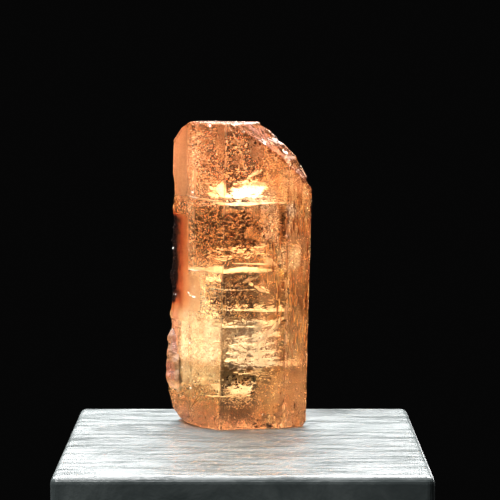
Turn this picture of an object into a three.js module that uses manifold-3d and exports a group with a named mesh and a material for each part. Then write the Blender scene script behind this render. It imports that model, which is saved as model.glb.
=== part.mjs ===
// A free-standing topaz crystal: one striated prism with a flat top, dome faces that fall away
// on both sides, a splintered left edge and a cleaved base. Millimetres, +Z up, the broad
// front towards -Y, the origin on the base under the middle of the crystal.
import * as THREE from 'three';
import { mergeVertices } from 'three/addons/utils/BufferGeometryUtils.js';
import Module from 'manifold-3d';

const wasm = await Module();
wasm.setup();

const degrees = THREE.MathUtils.degToRad;

// Topaz lattice: the axial ratio a : b fixes the angles between the natural prism faces.
const RATIO_A = 0.528;
const M_ANGLE = Math.atan(RATIO_A);
const L_ANGLE = Math.atan(2 * RATIO_A);

// Stance: how far the a axis is turned from straight ahead, how far the top leans to +X,
// and where the middle of the prism meets the base.
const A_AXIS_TURN = degrees(-17);
const LEAN = degrees(1.35);
const AXIS_FOOT = { x: -0.24, y: 0.31 };

// Prism: each face by the angle of its normal from the a axis and its distance from the
// middle, in order around the crystal, with the number of growth grooves that run down it.
const PRISM_FACES = {
  frontRightM: { angle: M_ANGLE, distance: 4.6, grooves: 3 },
  rightL: { angle: L_ANGLE, distance: 5.61, grooves: 6 },
  backRightL: { angle: Math.PI - L_ANGLE, distance: 5.19, grooves: 4 },
  backRightM: { angle: Math.PI - M_ANGLE, distance: 4.07, grooves: 5 },
  backLeftM: { angle: Math.PI + M_ANGLE, distance: 3.98, grooves: 4 },
  backLeftL: { angle: Math.PI + L_ANGLE, distance: 5.62, grooves: 3 },
  leftL: { angle: -L_ANGLE, distance: 5.18, grooves: 5 },
  frontLeftM: { angle: -M_ANGLE, distance: 4.73, grooves: 3 },
};
const GROOVE_SHARE = 0.4; // of the spacing between two grooves
const GROOVE_DEPTH = 0.1;

// Ends: the flat top, and the dome faces that fall away from it along the b axis. Each dome
// plane passes at `height` through the point `reach` out along b.
const TOP_HEIGHT = 30.3;
const DOMES = [
  { side: 1, slope: degrees(32), reach: 0.25, height: 30.35 },
  { side: 1, slope: degrees(39), reach: 2.76, height: 28.85 },
  { side: 1, slope: degrees(50), reach: 5.27, height: 26.75 },
  { side: 1, slope: degrees(60), reach: 6.88, height: 24.8 },
  { side: -1, slope: degrees(26), reach: 4.78, height: 30.3 },
  { side: -1, slope: degrees(46), reach: 6.1, height: 29.65 },
];

// Terraces: growth layers that stop short of each other on the right-hand dome faces. Each
// takes a layer `depth` thick off one dome, between two distances from the middle along the
// a axis, above `height`.
const TERRACES = [
  { dome: 0, along: [-3.4, 0.4], above: 29.7, depth: 0.12 },
  { dome: 1, along: [-1.6, 3.2], above: 27.9, depth: 0.14 },
  { dome: 2, along: [-2.6, 0.2], above: 25.9, depth: 0.12 },
];

// Ledges: shallow growth and cleavage steps in a prism face, from one height to another and
// between two distances along the face from its foot on the middle line.
const LEDGES = [
  { face: 'frontRightM', along: [-3.2, 2.1], heights: [3.1, 4.5], depth: 0.1 },
  { face: 'frontRightM', along: [-5, 5.9], heights: [-1, 0.9], depth: 0.07 },
  { face: 'frontLeftM', along: [-4, 5], heights: [6.55, 6.75], depth: 0.08 },
  { face: 'rightL', along: [-2.2, 0.2], heights: [12.4, 14.6], depth: 0.08 },
  { face: 'rightL', along: [0.5, 2.8], heights: [19.6, 21.4], depth: 0.1 },
  { face: 'backRightM', along: [-3.4, 0.6], heights: [17.8, 24.2], depth: 0.16 },
  { face: 'backRightM', along: [-1.2, 3.1], heights: [5.2, 9.4], depth: 0.13 },
  { face: 'backLeftM', along: [-2.8, 2.6], heights: [11.2, 13.1], depth: 0.12 },
  { face: 'backLeftM', along: [-0.6, 3.4], heights: [20.5, 26.4], depth: 0.18 },
  { face: 'backLeftL', along: [-1.9, 1.4], heights: [24.2, 26.6], depth: 0.12 },
];

// Scoops: shell-shaped breaks. Each is a ball of radius `radius` sunk `depth` into the surface
// at `at`, facing `facing`, and drawn out to `stretch` times its height.
const SCOOPS = [
  // splintered left edge
  { at: [-5.6, 3.4, 22.6], facing: [-0.7, 0.7, 0.3], radius: 2.6, depth: 0.42, stretch: 1.2 },
  { at: [-6.1, 3.2, 19.6], facing: [-0.55, 0.83, 0.1], radius: 2.8, depth: 0.62, stretch: 1.1 },
  { at: [-6.3, 3.1, 16.9], facing: [-0.7, 0.7, -0.1], radius: 2.2, depth: 0.5, stretch: 1.2 },
  { at: [-5.6, 3.5, 14.6], facing: [-0.45, 0.9, 0], radius: 2.6, depth: 0.45, stretch: 1.2 },
  { at: [-6.4, 3.05, 12.6], facing: [-0.7, 0.7, 0.1], radius: 1.9, depth: 0.5, stretch: 1.3 },
  { at: [-6.95, 2.6, 9.75], facing: [-1, 0.1, 0], radius: 1.1, depth: 0.2, stretch: 1.3 },
  { at: [-7.3, 1.9, 4.2], facing: [-0.9, -0.4, 0], radius: 0.35, depth: 0.16, stretch: 0.9 },
  // rim of the flat top
  { at: [-2.86, -3.04, 30.3], facing: [-0.5, -0.55, 0.66], radius: 0.45, depth: 0.2, stretch: 1 },
  { at: [-4.1, -1.7, 30.3], facing: [-0.5, -0.55, 0.66], radius: 0.6, depth: 0.13, stretch: 1 },
  { at: [-3.4, 3.75, 30.1], facing: [-0.2, 0.75, 0.6], radius: 1.2, depth: 0.3, stretch: 1 },
  { at: [2.34, 3.7, 29.9], facing: [0.6, 0.4, 0.7], radius: 0.6, depth: 0.14, stretch: 1 },
  // right-hand dome faces
  { at: [2.58, -3.42, 28.5], facing: [0.35, -0.6, 0.7], radius: 0.5, depth: 0.16, stretch: 1 },
  { at: [3.5, 1.6, 28.5], facing: [0.62, -0.18, 0.76], radius: 1.4, depth: 0.16, stretch: 1 },
  { at: [4.5, -0.72, 27.57], facing: [0.62, -0.18, 0.76], radius: 0.9, depth: 0.18, stretch: 1 },
  { at: [6.01, 0.19, 26.43], facing: [0.75, -0.1, 0.63], radius: 0.8, depth: 0.14, stretch: 1 },
  { at: [6.86, -1.7, 24.6], facing: [0.8, -0.1, 0.5], radius: 0.8, depth: 0.24, stretch: 1.2 },
  // foot
  { at: [2.77, -3.8, 0], facing: [0.1, -0.8, -0.6], radius: 0.7, depth: 0.2, stretch: 0.8 },
  { at: [1.59, -3.95, 0], facing: [0, -0.8, -0.6], radius: 0.45, depth: 0.16, stretch: 0.8 },
  { at: [6.3, -2.3, 0], facing: [0.75, -0.3, -0.6], radius: 0.9, depth: 0.3, stretch: 0.9 },
  { at: [-3.6, -2.9, 0], facing: [-0.5, -0.5, -0.8], radius: 1.5, depth: 0.2, stretch: 0.7 },
  { at: [1.9, 3.9, 0.4], facing: [0.5, 0.7, -0.5], radius: 2.4, depth: 0.55, stretch: 1.1 },
];

// Broken corner: flat breaks that round off the lower left, each through `at`.
const BREAKS = [
  { at: [-7.5, 2, 3.75], facing: [-0.93, 0.05, -0.36] },
  { at: [-6.85, 2, 1.65], facing: [-0.84, -0.1, -0.54] },
  { at: [-6.05, 1, 0.55], facing: [-0.62, -0.12, -0.78] },
  { at: [-3.6, -3, 0], facing: [-0.2, -0.06, -1] },
];

// Cleavage cracks: nearly level splits that open through the front faces and thin out to
// nothing inside. Each is centred at `at` on its face, runs `across` to either side and `deep`
// inwards, and climbs `slope` mm per mm to the right.
const CLEAVAGE_CRACKS = [
  { at: [-3.4, -3.2, 22.76], across: 2.2, deep: 3.8, slope: -0.12 },
  { at: [1.9, -4.2, 22.34], across: 3.7, deep: 4.8, slope: 0.02 },
  { at: [1.35, -4.2, 16.45], across: 2.15, deep: 2.6, slope: 0 },
  { at: [-0.85, -4, 15.54], across: 4.35, deep: 5.5, slope: 0.01 },
  { at: [-0.5, -4.2, 13.85], across: 2.1, deep: 2.6, slope: 0 },
  { at: [1, -4.2, 11.8], across: 4.2, deep: 3.6, slope: 0 },
  { at: [0, -4.2, 10.15], across: 2.8, deep: 3.4, slope: 0 },
  { at: [3.7, -3.6, 6.24], across: 2.5, deep: 3.6, slope: -0.03 },
  { at: [-1.8, -3.8, 3.2], across: 2.6, deep: 3, slope: -0.06 },
];
const CRACK_GAPE = 0.14; // at the middle of the mouth

// Knobs: low rounded growths along the lower left edge.
const KNOBS = [
  { at: [-6.35, 2.45, 8.3], radii: [0.98, 1, 0.95] },
  { at: [-6.5, 2.1, 6.9], radii: [0.9, 1.2, 1.1] },
  { at: [-5.9, 1, 6], radii: [0.9, 1, 0.9] },
  { at: [-6.4, 2.4, 5.6], radii: [1.06, 1, 0.9] },
  { at: [-6.5, 2, 4.4], radii: [1.02, 1.1, 1] },
  { at: [-5.95, 0.8, 4.5], radii: [0.95, 0.9, 1.1] },
];

const CUTTER_SIZE = 60;
const BALL_DETAIL = 4;
const KNOB_DETAIL = 2;
const CRACK_DETAIL = 3;

/** A closed three.js geometry as a manifold solid. */
function toSolid(geometry) {
  const bare = geometry.index ? geometry.toNonIndexed() : geometry.clone();
  bare.deleteAttribute('normal');
  bare.deleteAttribute('uv');
  const merged = mergeVertices(bare, 1e-4);
  return new wasm.Manifold(new wasm.Mesh({
    numProp: 3,
    vertProperties: new Float32Array(merged.attributes.position.array),
    triVerts: new Uint32Array(merged.index.array),
  }));
}

/** A manifold solid as a three.js geometry. */
function toGeometry(solid) {
  const mesh = solid.getMesh();
  const geometry = new THREE.BufferGeometry();
  geometry.setAttribute('position', new THREE.BufferAttribute(mesh.vertProperties, 3));
  geometry.setIndex(new THREE.BufferAttribute(mesh.triVerts, 1));
  geometry.computeVertexNormals();
  return geometry;
}

/** Unit vector in plan at an angle from the a axis: 0 is the a axis, 90 degrees the b axis. */
function planDirection(angle) {
  const turned = angle + A_AXIS_TURN;
  return new THREE.Vector3(Math.sin(turned), -Math.cos(turned), 0);
}

/** The corner where two neighbouring prism faces meet. */
function corner(one, other) {
  const n1 = planDirection(one.angle);
  const n2 = planDirection(other.angle);
  const cross = n1.x * n2.y - n1.y * n2.x;
  return new THREE.Vector2(
    (one.distance * n2.y - other.distance * n1.y) / cross,
    (other.distance * n1.x - one.distance * n2.x) / cross,
  );
}

/** Points from one corner towards the next, dipping inwards at each growth groove. */
function groovedEdge(start, end, face) {
  const along = end.clone().sub(start);
  const length = along.length();
  along.normalize();
  const inwards = planDirection(face.angle).negate();
  const spacing = length / (face.grooves + 0.5);
  const points = [start.clone()];
  for (let i = 0; i < face.grooves; i += 1) {
    const wobble = Math.sin(7.3 * (i + 1) + 3.1 * face.distance);
    const middle = spacing * (i + 0.75 + 0.18 * wobble);
    const depth = GROOVE_DEPTH * (0.65 + 0.35 * Math.cos(5.1 * i + face.distance));
    const half = spacing * GROOVE_SHARE * (0.75 + 0.25 * wobble) / 2;
    const dips = [[-half, 0], [-half * 0.2, depth], [half, 0]];
    dips.forEach(([step, dip]) => points.push(
      start.clone().addScaledVector(along, middle + step).addScaledVector(inwards, dip),
    ));
  }
  return points;
}

/** The whole prism along the c axis, longer than the crystal at both ends. */
function prism() {
  const faces = Object.values(PRISM_FACES);
  const corners = faces.map((face, i) => corner(faces[(i + faces.length - 1) % faces.length], face));
  const outline = faces.flatMap((face, i) => (
    groovedEdge(corners[i], corners[(i + 1) % corners.length], face)
  ));
  const spare = 4;
  const body = new THREE.ExtrudeGeometry(new THREE.Shape(outline), {
    depth: TOP_HEIGHT + 2 * spare,
    bevelEnabled: false,
  });
  return toSolid(body.translate(0, 0, -spare));
}

/** A block that fills everything beyond a plane, given by its normal and a point on it. */
function beyond(normal, point) {
  const block = new THREE.BoxGeometry(CUTTER_SIZE, CUTTER_SIZE, CUTTER_SIZE);
  block.translate(0, 0, CUTTER_SIZE / 2);
  block.applyQuaternion(new THREE.Quaternion().setFromUnitVectors(
    new THREE.Vector3(0, 0, 1),
    normal.clone().normalize(),
  ));
  return toSolid(block.translate(point.x, point.y, point.z));
}

/** Everything above one dome face. */
function aboveDome({ side, slope, reach, height }) {
  const b = planDirection(side * Math.PI / 2);
  const normal = b.clone().multiplyScalar(Math.sin(slope)).setZ(Math.cos(slope));
  return beyond(normal, b.multiplyScalar(reach).setZ(height));
}

/** The growth layer that one terrace takes off its dome face. */
function terraceLayer({ dome, along, above, depth }) {
  const { slope, reach, height } = DOMES[dome];
  const length = 4;
  const layer = new THREE.BoxGeometry(length, along[1] - along[0], 2 * depth);
  layer.translate(-length / 2, (along[0] + along[1]) / 2, 0);
  const run = (height - above) / Math.tan(slope);
  const b = planDirection(Math.PI / 2);
  layer.rotateY(slope).rotateZ(A_AXIS_TURN);
  return toSolid(layer.translate(b.x * (reach + run), b.y * (reach + run), above));
}

/** The thin plate that one ledge takes off its face. */
function ledgePlate({ face, along, heights, depth }) {
  const { angle, distance } = PRISM_FACES[face];
  const proud = 0.5;
  const plate = new THREE.BoxGeometry(
    along[1] - along[0],
    depth + proud,
    heights[1] - heights[0],
  );
  plate.translate(
    (along[0] + along[1]) / 2,
    -(distance + (proud - depth) / 2),
    (heights[0] + heights[1]) / 2,
  );
  return toSolid(plate.rotateZ(angle + A_AXIS_TURN));
}

/** The ball that one scoop removes. */
function scoopBall({ at, facing, radius, depth, stretch }) {
  const ball = new THREE.IcosahedronGeometry(radius, BALL_DETAIL);
  const centre = new THREE.Vector3(...facing).normalize().multiplyScalar(radius - depth);
  ball.scale(1, 1, stretch);
  return toSolid(ball.translate(at[0] + centre.x, at[1] + centre.y, at[2] + centre.z));
}

/** One rounded growth. */
function knob({ at, radii }) {
  const ball = new THREE.IcosahedronGeometry(1, KNOB_DETAIL);
  return toSolid(ball.scale(...radii).translate(...at));
}

/** The thin gap that one cleavage crack opens. */
function crackGap({ at, across, deep, slope }) {
  const gap = new THREE.IcosahedronGeometry(1, CRACK_DETAIL).scale(across, deep, CRACK_GAPE / 2);
  return toSolid(gap.rotateY(-Math.atan(slope)).translate(...at));
}

/** The prism with its ends and ledges, leaning as it stands. */
function leaningPrism() {
  let solid = prism().subtract(beyond(
    new THREE.Vector3(0, 0, 1),
    new THREE.Vector3(0, 0, TOP_HEIGHT),
  ));
  DOMES.forEach((dome) => { solid = solid.subtract(aboveDome(dome)); });
  TERRACES.forEach((terrace) => { solid = solid.subtract(terraceLayer(terrace)); });
  LEDGES.forEach((ledge) => { solid = solid.subtract(ledgePlate(ledge)); });
  return toSolid(toGeometry(solid).rotateY(LEAN).translate(AXIS_FOOT.x, AXIS_FOOT.y, 0));
}

let solid = leaningPrism();
KNOBS.forEach((growth) => { solid = solid.add(knob(growth)); });
SCOOPS.forEach((scoop) => { solid = solid.subtract(scoopBall(scoop)); });
BREAKS.forEach(({ at, facing }) => {
  solid = solid.subtract(beyond(new THREE.Vector3(...facing), new THREE.Vector3(...at)));
});
CLEAVAGE_CRACKS.forEach((crack) => { solid = solid.subtract(crackGap(crack)); });
solid = solid.subtract(beyond(new THREE.Vector3(0, 0, -1), new THREE.Vector3(0, 0, 0)));

// The knobs close over grooves and leave specks of void, which the largest body is free of.
const whole = solid.decompose().reduce((one, other) => (other.volume() > one.volume() ? other : one));

// The middle of the finished shape goes over the origin.
const shape = toGeometry(whole);
shape.computeBoundingBox();
const middle = shape.boundingBox.getCenter(new THREE.Vector3());
shape.translate(-middle.x, -middle.y, 0);

const topaz = new THREE.MeshStandardMaterial({ color: 0xd9905c, roughness: 0.25, metalness: 0 });
const crystal = new THREE.Mesh(shape, topaz);
crystal.name = 'crystal';

const group = new THREE.Group();
group.add(crystal);

export default group;
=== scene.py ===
"""The finish of a free-standing topaz crystal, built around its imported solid.

The clear body is contoured from one field: prism faces, dome faces, breaks and growths, with
their fine relief. Inside it lie cleavage cracks, feathers, mist and specks, and a crust and
small marks lie on its skin. Lengths are in millimetres up to the mesh makers, which write
metres. The broad front faces look to -Y.
"""

import math

import bpy
import numpy as np
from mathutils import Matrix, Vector


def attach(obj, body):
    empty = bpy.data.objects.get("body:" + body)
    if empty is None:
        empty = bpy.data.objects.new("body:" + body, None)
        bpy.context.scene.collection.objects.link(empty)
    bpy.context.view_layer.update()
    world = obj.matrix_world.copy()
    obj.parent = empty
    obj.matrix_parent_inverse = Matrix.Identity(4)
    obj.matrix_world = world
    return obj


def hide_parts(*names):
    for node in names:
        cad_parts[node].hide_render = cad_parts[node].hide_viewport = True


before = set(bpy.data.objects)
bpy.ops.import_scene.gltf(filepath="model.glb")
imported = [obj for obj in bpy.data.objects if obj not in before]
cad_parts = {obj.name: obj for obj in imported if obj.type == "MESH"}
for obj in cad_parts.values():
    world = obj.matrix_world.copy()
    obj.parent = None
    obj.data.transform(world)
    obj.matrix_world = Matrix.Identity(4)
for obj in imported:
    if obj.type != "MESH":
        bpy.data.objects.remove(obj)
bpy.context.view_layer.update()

MM = 0.001
scene = bpy.context.scene

# ---------------- the crystal's own dimensions

RATIO_A = 0.528  # of the a axis to the b axis
M_ANGLE = math.atan(RATIO_A)
L_ANGLE = math.atan(2 * RATIO_A)
A_AXIS_TURN = math.radians(-17)
LEAN = math.radians(1.35)
AXIS_FOOT = (-0.24, 0.31)
TOP_HEIGHT = 30.3

# Prism faces in order around the crystal: angle of the normal from the a axis, distance, and
# strength of the growth lines.
PRISM_FACES = {
    "front_right_m": (M_ANGLE, 4.6, 0.8),
    "right_l": (L_ANGLE, 5.61, 1.0),
    "back_right_l": (math.pi - L_ANGLE, 5.19, 2.0),
    "back_right_m": (math.pi - M_ANGLE, 4.07, 1.6),
    "back_left_m": (math.pi + M_ANGLE, 3.98, 1.2),
    "back_left_l": (math.pi + L_ANGLE, 5.62, 1.5),
    "left_l": (-L_ANGLE, 5.18, 0.5),
    "front_left_m": (-M_ANGLE, 4.73, 0.8),
}
FRONT, BACK_RIGHT, BACK_LEFT = [0, 1, 6, 7], [2, 3], [4, 5]  # faces by their order above
RIGHT_L = 1
GROWTH_LINES = ((1.5, 0.05), (0.7, 0.035), (0.36, 0.02))  # spacing, depth
WORN_EDGE = 5.2  # from the axis to the blunted edge between the two front faces
ROUNDED_EDGE = 0.9  # width of the fillet between the left face and the front left one
NEAR = 0.5  # fine relief is worked out this close to a face
# Dome faces: side along b, slope, and the reach along b and height of a point on each.
DOMES = [
    (1, 32, 0.25, 30.35),
    (1, 39, 2.76, 28.85),
    (1, 50, 5.27, 26.75),
    (1, 60, 6.88, 24.8),
    (-1, 26, 4.78, 30.3),
    (-1, 46, 6.1, 29.65),
]
DOME_RELIEF = ((1.4, 0.014, 31), (0.4, 0.005, 32))  # size, depth, seed
# Scoops: point on the surface, direction, ball radius, depth, stretch in height.
SCOOPS = [
    ((-5.6, 3.4, 22.6), (-0.7, 0.7, 0.3), 2.6, 0.42, 1.2),
    ((-6.1, 3.2, 19.6), (-0.55, 0.83, 0.1), 2.8, 0.62, 1.1),
    ((-6.3, 3.1, 16.9), (-0.7, 0.7, -0.1), 2.2, 0.5, 1.2),
    ((-5.6, 3.5, 14.6), (-0.45, 0.9, 0), 2.6, 0.45, 1.2),
    ((-6.4, 3.05, 12.6), (-0.7, 0.7, 0.1), 1.9, 0.5, 1.3),
    ((-6.95, 2.6, 9.75), (-1, 0.1, 0), 1.1, 0.2, 1.3),
    ((-7.3, 1.9, 4.2), (-0.9, -0.4, 0), 0.35, 0.16, 0.9),
    ((-2.86, -3.04, 30.3), (-0.5, -0.55, 0.66), 0.45, 0.2, 1),
    ((-4.1, -1.7, 30.3), (-0.5, -0.55, 0.66), 0.6, 0.13, 1),
    ((-3.4, 3.75, 30.1), (-0.2, 0.75, 0.6), 1.2, 0.3, 1),
    ((2.34, 3.7, 29.9), (0.6, 0.4, 0.7), 0.6, 0.14, 1),
    ((2.58, -3.42, 28.5), (0.35, -0.6, 0.7), 0.5, 0.16, 1),
    ((3.5, 1.6, 28.5), (0.62, -0.18, 0.76), 1.4, 0.16, 1),
    ((4.5, -0.72, 27.57), (0.62, -0.18, 0.76), 0.9, 0.18, 1),
    ((6.01, 0.19, 26.43), (0.75, -0.1, 0.63), 0.8, 0.14, 1),
    ((6.86, -1.7, 24.6), (0.8, -0.1, 0.5), 0.8, 0.24, 1.2),
    ((2.77, -3.8, 0), (0.1, -0.8, -0.6), 0.7, 0.2, 0.8),
    ((1.59, -3.95, 0), (0, -0.8, -0.6), 0.45, 0.16, 0.8),
    ((6.3, -2.3, 0), (0.75, -0.3, -0.6), 0.9, 0.3, 0.9),
    ((-3.6, -2.9, 0), (-0.5, -0.5, -0.8), 1.5, 0.2, 0.7),
    ((1.9, 3.9, 0.4), (0.5, 0.7, -0.5), 2.4, 0.55, 1.1),
]
# Flat breaks: point on the plane, direction.
BREAKS = [
    ((-7.5, 2, 3.75), (-0.93, 0.05, -0.36)),
    ((-6.85, 2, 1.65), (-0.84, -0.1, -0.54)),
    ((-6.05, 1, 0.55), (-0.62, -0.12, -0.78)),
    ((-3.6, -3, 0), (-0.2, -0.06, -1)),
]
# Knobs, the low rounded growths: middle, radii.
KNOBS = [
    ((-6.35, 2.45, 8.3), (0.98, 1, 0.95)),
    ((-6.5, 2.1, 6.9), (0.9, 1.2, 1.1)),
    ((-5.9, 1, 6), (0.9, 1, 0.9)),
    ((-6.4, 2.4, 5.6), (1.06, 1, 0.9)),
    ((-6.5, 2, 4.4), (1.02, 1.1, 1)),
    ((-5.95, 0.8, 4.5), (0.95, 0.9, 1.1)),
]
KNOB_SHRINK = 0.12
KNOB_FILLET = 0.5


# ---------------- field of the clear body

def plan_direction(angle):
    """Unit vector in plan at an angle from the a axis."""
    turned = angle + A_AXIS_TURN
    return np.array([math.sin(turned), -math.cos(turned), 0.0])


B_AXIS = plan_direction(math.pi / 2)


def dome_planes():
    """Normals and offsets of the dome faces."""
    for side, slope, reach, at_height in DOMES:
        normal = side * B_AXIS * math.sin(math.radians(slope))
        normal[2] = math.cos(math.radians(slope))
        foot = side * B_AXIS * reach
        foot[2] = at_height
        yield normal, foot @ normal


def noise(points, scale, seed):
    """Smooth lattice noise from -1 to 1, with a feature size per axis or for all of them."""
    q = points / scale
    cell = np.floor(q).astype(np.int64)
    t = q - cell
    t = t * t * (3 - 2 * t)
    table = np.random.default_rng(seed).uniform(-1, 1, 4096)
    total = 0
    for corner in np.ndindex(2, 2, 2):
        key = (cell + corner) * (73856093, 19349663, 83492791)
        weight = np.prod(np.where(corner, t, 1 - t), axis=1)
        total = total + weight * table[(key[:, 0] ^ key[:, 1] ^ key[:, 2]) & 4095]
    return total


def to_crystal(points):
    """Standing coordinates to the crystal's own, with its c axis upright."""
    x, y, z = points[:, 0] - AXIS_FOOT[0], points[:, 1] - AXIS_FOOT[1], points[:, 2]
    sine, cosine = math.sin(LEAN), math.cos(LEAN)
    return np.stack([x * cosine - z * sine, y, x * sine + z * cosine], axis=1)


def growth_lines(along, height, strength, seed):
    """Relief of a striated face, in mm cut away: ridges that run up it and fade in places."""
    flat = np.zeros_like(along)
    place = np.stack([along, height / 60, flat], axis=1)
    cut = 0
    for spacing, depth in GROWTH_LINES:
        cut = cut + strength * depth * np.abs(noise(place, spacing, seed))
        seed += 1
    patch = noise(np.stack([along / 2, height / 7, flat], axis=1), 1.0, seed)
    return cut * np.clip(0.75 + 0.6 * patch, 0.2, 1.3)


def blended(one, other, width):
    """The smaller of two fields, with a fillet between them."""
    share = np.clip(0.5 + 0.5 * (other - one) / width, 0, 1)
    return other * (1 - share) + one * share - width * share * (1 - share)


def unit(vector):
    return np.array(vector) / np.linalg.norm(vector)


def crystal_field(points):
    """Below zero inside the crystal, above zero outside it; near the surface, a distance in mm."""
    own = to_crystal(points)
    height = own[:, 2]
    ends = height - TOP_HEIGHT
    for normal, offset in dome_planes():
        ends = np.maximum(ends, own @ normal - offset)
    near = np.abs(ends) < NEAR
    for size, depth, seed in DOME_RELIEF:
        ends[near] += depth * np.abs(noise(own[near], size, seed))
    sides = {}
    for index, (name, (angle, distance, strength)) in enumerate(PRISM_FACES.items()):
        face = own @ plan_direction(angle) - distance
        near = np.abs(face) < NEAR
        along = own[near] @ plan_direction(angle + math.pi / 2)
        face[near] += growth_lines(along, height[near], strength, 100 + 10 * index)
        sides[name] = face
    rounded = -blended(-sides["left_l"], -sides["front_left_m"], ROUNDED_EDGE)
    worn = own @ plan_direction(0) - WORN_EDGE - 0.05 * noise(own, (2.0, 2.0, 1.4), 41)
    field = np.maximum.reduce([ends, rounded, worn, *sides.values()])
    for centre, radii in KNOBS:
        reach = np.linalg.norm((points - centre) / radii, axis=1)
        near = np.abs(reach - 1) < NEAR
        lumps = 0.07 * noise(points[near], 0.6, 71) + 0.03 * noise(points[near], 0.3, 72)
        reach[near] += KNOB_SHRINK + lumps
        field = blended(field, (reach - 1) * min(radii), KNOB_FILLET)
    for at, facing, radius, depth, stretch in SCOOPS:
        centre = np.array(at) + unit(facing) * (radius - depth)
        gap = np.linalg.norm((points - centre) / (1, 1, stretch), axis=1)
        near = np.abs(gap - radius) < 0.4
        gap[near] += 0.05 * noise(points[near], (0.5, 0.5, 0.3), 57)
        field = np.maximum(field, radius - gap)
    for at, facing in BREAKS:
        plane = (points - at) @ unit(facing)
        near = np.abs(plane) < NEAR
        plane[near] += 0.06 * np.abs(noise(points[near], 0.9, 61))
        field = np.maximum(field, plane)
    return np.maximum(field, -points[:, 2])


# ---------------- contouring

DAMPING = 0.06  # holds a vertex to the mean of its crossings where the surface is flat


def contour(field, low, high, cell):
    """Vertices and quads of the surface where a field is zero, keeping its sharp edges."""
    counts = np.ceil((np.array(high) - low) / cell).astype(int) + 1
    grid = np.array(low) + cell * np.stack(np.indices(counts), axis=-1)
    values = field(grid.reshape(-1, 3)).reshape(counts)
    steps = np.eye(3, dtype=int)
    crossings = []
    for axis in range(3):
        one, two = np.delete(values, -1, axis), np.delete(values, 0, axis)
        where = np.argwhere((one < 0) != (two < 0))
        v1, v2 = one[tuple(where.T)], two[tuple(where.T)]
        place = grid[tuple(where.T)] + (v1 / (v1 - v2))[:, None] * steps[axis] * cell
        crossings.append((axis, where, place, v1 < 0))
    places = np.concatenate([c[2] for c in crossings])
    nudges = steps * cell * 0.08
    slope = np.stack([field(places + nudge) - field(places - nudge) for nudge in nudges], axis=1)
    slope /= np.linalg.norm(slope, axis=1)[:, None] + 1e-12

    cells, rows, quads, start = [], [], [], 0
    for axis, where, place, leaving in crossings:
        one, two = steps[(axis + 1) % 3], steps[(axis + 2) % 3]
        ring = [where - one - two, where - two, where, where - one]
        ids = np.stack([np.ravel_multi_index(tuple(r.T), tuple(counts)) for r in ring], axis=1)
        quads.append(np.where(leaving[:, None], ids, ids[:, ::-1]))
        cells.append(ids.ravel())
        rows.append(np.repeat(np.arange(start, start + len(where)), 4))
        start += len(where)
    cells, rows, quads = np.concatenate(cells), np.concatenate(rows), np.concatenate(quads)
    used, member = np.unique(cells, return_inverse=True)

    def summed(columns):
        """Columns of numbers at the crossings, summed for each cell."""
        return np.stack([np.bincount(member, column, len(used)) for column in columns], axis=1)

    mean = summed(places[rows].T) / summed([np.ones(len(rows))])
    n = slope[rows]
    offset = np.sum(n * (places[rows] - mean[member]), axis=1)
    matrix = summed([n[:, i] * n[:, j] for i, j in np.ndindex(3, 3)]).reshape(-1, 3, 3)
    matrix += DAMPING * np.eye(3)
    shift = np.linalg.solve(matrix, summed((n * offset[:, None]).T)[..., None])[..., 0]
    vertices = mean + np.clip(shift, -0.8 * cell, 0.8 * cell)
    return vertices, np.searchsorted(used, quads)


def shown(name, data):
    """A new object in the scene, with a mesh, a light or a camera."""
    piece = bpy.data.objects.new(name, data)
    scene.collection.objects.link(piece)
    return piece


def new_mesh(name, vertices, faces, smooth_angle):
    """A mesh object from points in mm, its place kept in its mesh."""
    mesh = bpy.data.meshes.new(name)
    mesh.from_pydata((np.asarray(vertices) * MM).tolist(), [], np.asarray(faces).tolist())
    mesh.validate()
    mesh.update()
    mesh.shade_smooth()
    mesh.set_sharp_from_angle(angle=math.radians(smooth_angle))
    return shown(name, mesh)


CELL = 0.13
FIELD_LOW, FIELD_HIGH = (-8.2, -5.4, -0.33), (8.2, 5.4, 31)
skin, quads = contour(crystal_field, FIELD_LOW, FIELD_HIGH, CELL)
CENTRE = (skin.min(axis=0) + skin.max(axis=0)) / 2 * (1, 1, 0)
crystal = new_mesh("topaz_crystal", skin - CENTRE, quads, smooth_angle=28)


def dress(points):
    """How far each point of the surface is etched, frosted, broken or grown over, 0 to 1."""
    own = to_crystal(points)
    prism = PRISM_FACES.values()
    faces = np.stack([own @ plan_direction(angle) - away for angle, away, _ in prism], axis=1)
    front, right, left = (faces[:, some].max(axis=1) for some in (FRONT, BACK_RIGHT, BACK_LEFT))
    back = np.maximum(right, left)
    on_back = (back > -0.25) & (back > front)
    on_right = (faces[:, RIGHT_L] > -0.2) & (faces.argmax(axis=1) == RIGHT_L)
    flat = own[:, 2] - TOP_HEIGHT
    grown = np.zeros(len(points), dtype=bool)
    for centre, radii in KNOBS:
        grown |= np.abs(np.linalg.norm((points - centre) / radii, axis=1) - 1) < 0.2
    ends = np.stack([own @ normal - offset for normal, offset in dome_planes()], axis=1)
    ordered = np.sort(np.concatenate([faces, ends, flat[:, None]], axis=1), axis=1)
    shares = {
        "etched": on_back & (left > right),
        "ribbed": on_back & (left <= right) | on_right,
        "frosted": (flat > -0.15) | (points[:, 2] < 0.05),
        "domed": (ends.max(axis=1) > -0.3) & (flat < -0.2) & (own[:, 2] > 20),
        "broken": (faces.max(axis=1) < -0.25) & (own[:, 2] < 24),
        "grown": grown & (points[:, 0] < -6.0),
        "worn": np.clip(1 - (ordered[:, -1] - ordered[:, -2]) / 0.16, 0, 1),
    }
    return {name: share.astype(float) for name, share in shares.items()}


skin_facing = np.empty(3 * len(skin))
crystal.data.vertex_normals.foreach_get("vector", skin_facing)
skin_facing = skin_facing.reshape(-1, 3)
skin_layers = dress(skin)
for name, values in skin_layers.items():
    layer = crystal.data.attributes.new(name, "FLOAT", "POINT")
    layer.data.foreach_set("value", values)


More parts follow.
